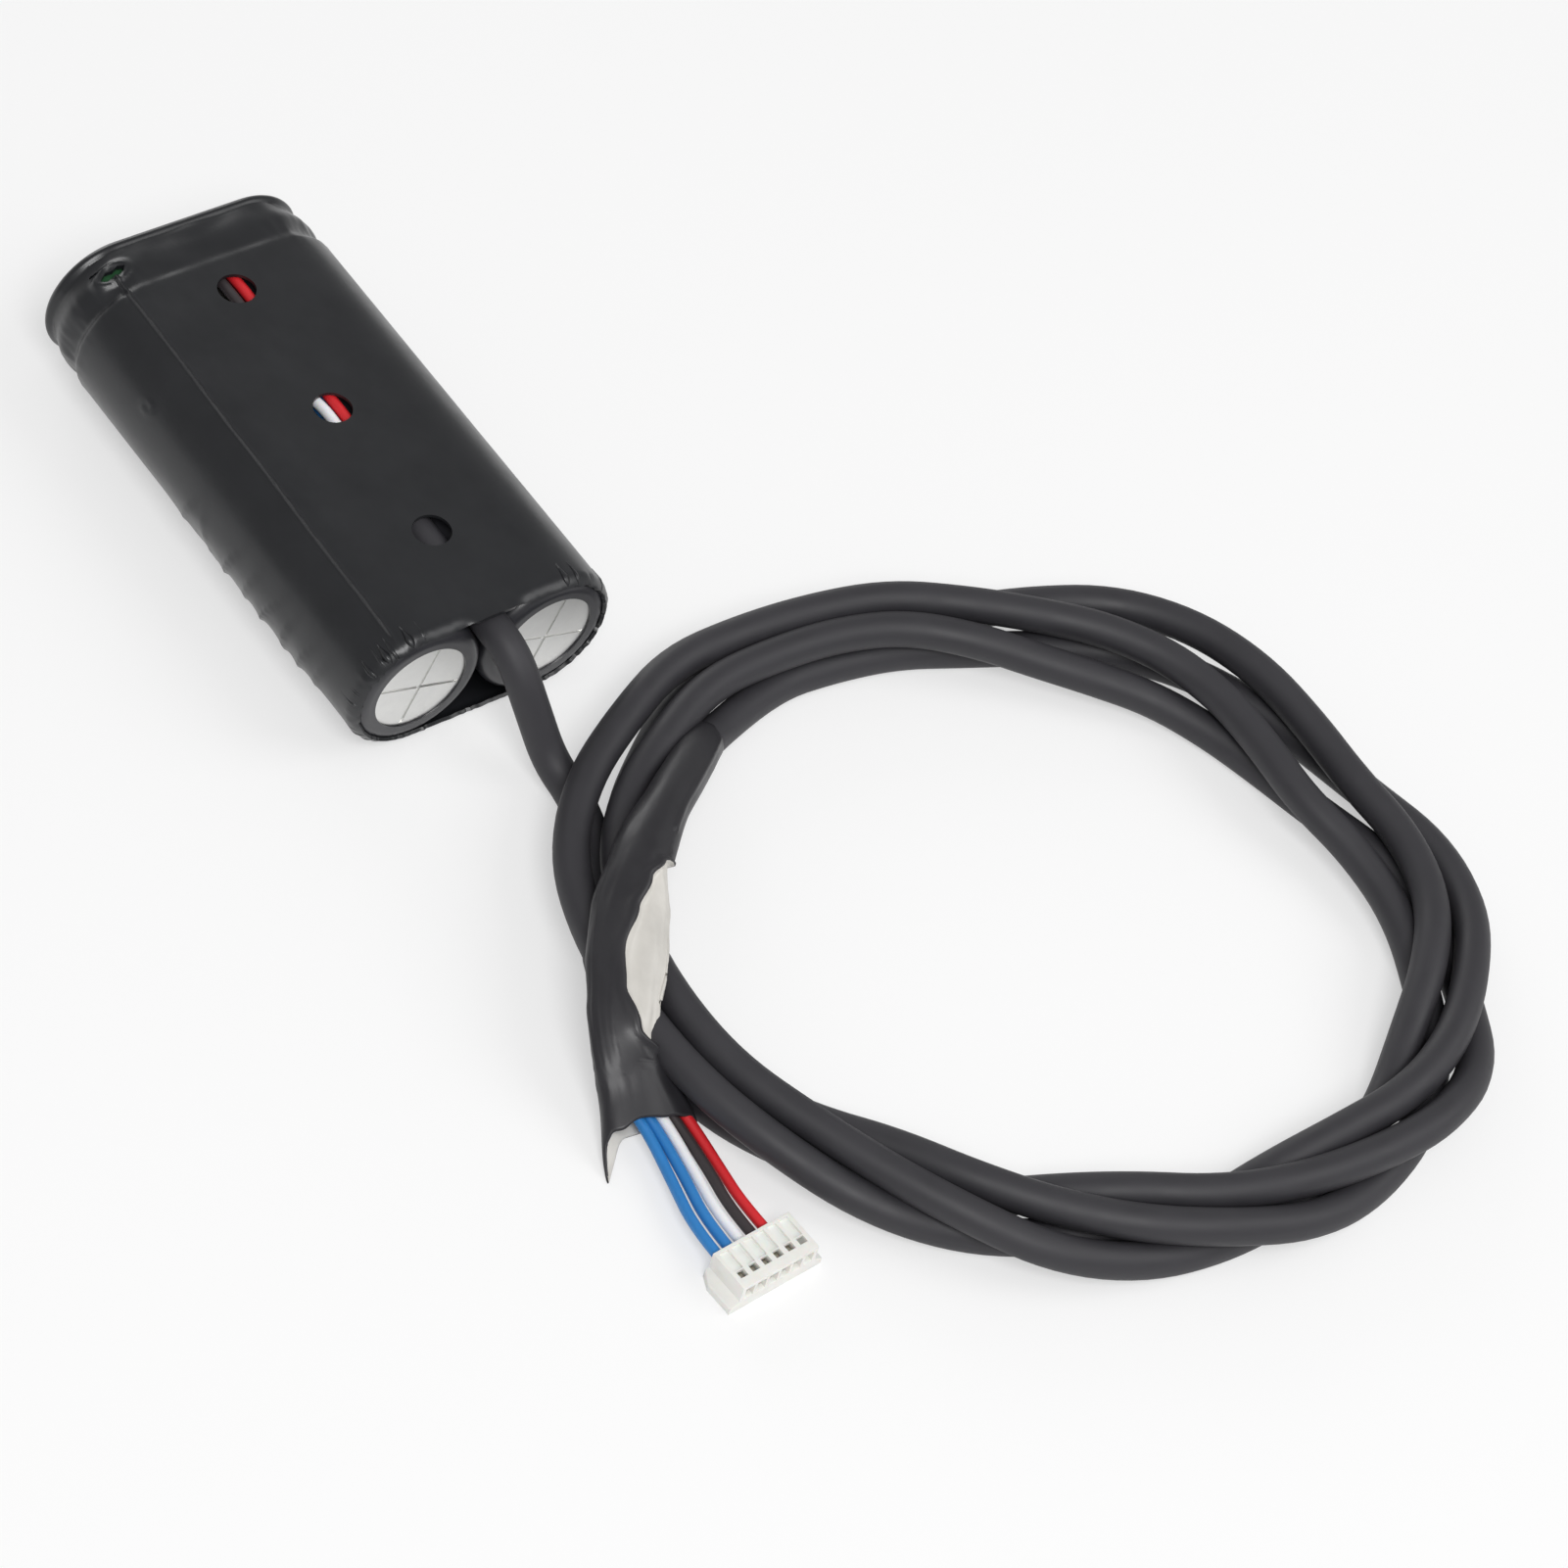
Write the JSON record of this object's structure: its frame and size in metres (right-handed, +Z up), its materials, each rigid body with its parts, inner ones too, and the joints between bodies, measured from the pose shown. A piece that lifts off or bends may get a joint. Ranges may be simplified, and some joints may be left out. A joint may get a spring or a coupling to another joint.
{
  "type": "supercapacitor backup module",
  "caption": "Flat pack of capacitor cells in a shrink sleeve, with a coiled round cable that ends in a film sheath and a small wire-to-board plug, for backing up a storage controller.",
  "frame": {"origin": "middle of the pack's underside, where it rests", "axes": "+Y along the cells, away from the cable; +X across the cells; +Z up"},
  "size_m": [0.0855, 0.1302, 0.0135],
  "materials": {
    "sleeve_film": "satin shrink film",
    "cable_tube": "matt tube",
    "sheath_film": "satin film, creased",
    "can_aluminium": "drawn, bright",
    "cell_wrap": "satin film",
    "bung_rubber": "matt",
    "tinned_lead": "tinned",
    "board_laminate": "solder mask",
    "solder": "bright",
    "plate_plastic": "matt",
    "wire_red": "satin",
    "wire_black": "satin",
    "wire_white": "satin",
    "wire_blue": "satin",
    "bead_resin": "satin",
    "plug_nylon": "moulded, satin",
    "contact_metal": "tinned"
  },
  "bodies": {
    "root": {"outer_sleeve": "sleeve_film", "cell_can_left": "can_aluminium", "cell_can_right": "can_aluminium", "cell_wrap_left": "cell_wrap", "cell_wrap_right": "cell_wrap", "cell_bung_left": "bung_rubber", "cell_bung_right": "bung_rubber", "cell_leads_left": "tinned_lead", "cell_leads_right": "tinned_lead", "inner_wire_red": "wire_red", "inner_wire_black": "wire_black", "inner_wire_white": "wire_white", "inner_wire_blue_a": "wire_blue", "inner_wire_blue_b": "wire_blue", "temperature_sensor": "bead_resin", "link_board": "board_laminate", "solder_joints": "solder", "end_plate": "plate_plastic", "plug_housing": "plug_nylon", "plug_contacts": "contact_metal", "end_sheath": "sheath_film", "cable_coil": "cable_tube", "cable_lead": "cable_tube", "cable_tail": "cable_tube", "plug_wire_blue_a": "wire_blue", "plug_wire_blue_b": "wire_blue", "plug_wire_white": "wire_white", "plug_wire_black": "wire_black", "plug_wire_red": "wire_red"}
  },
  "joints": []
}
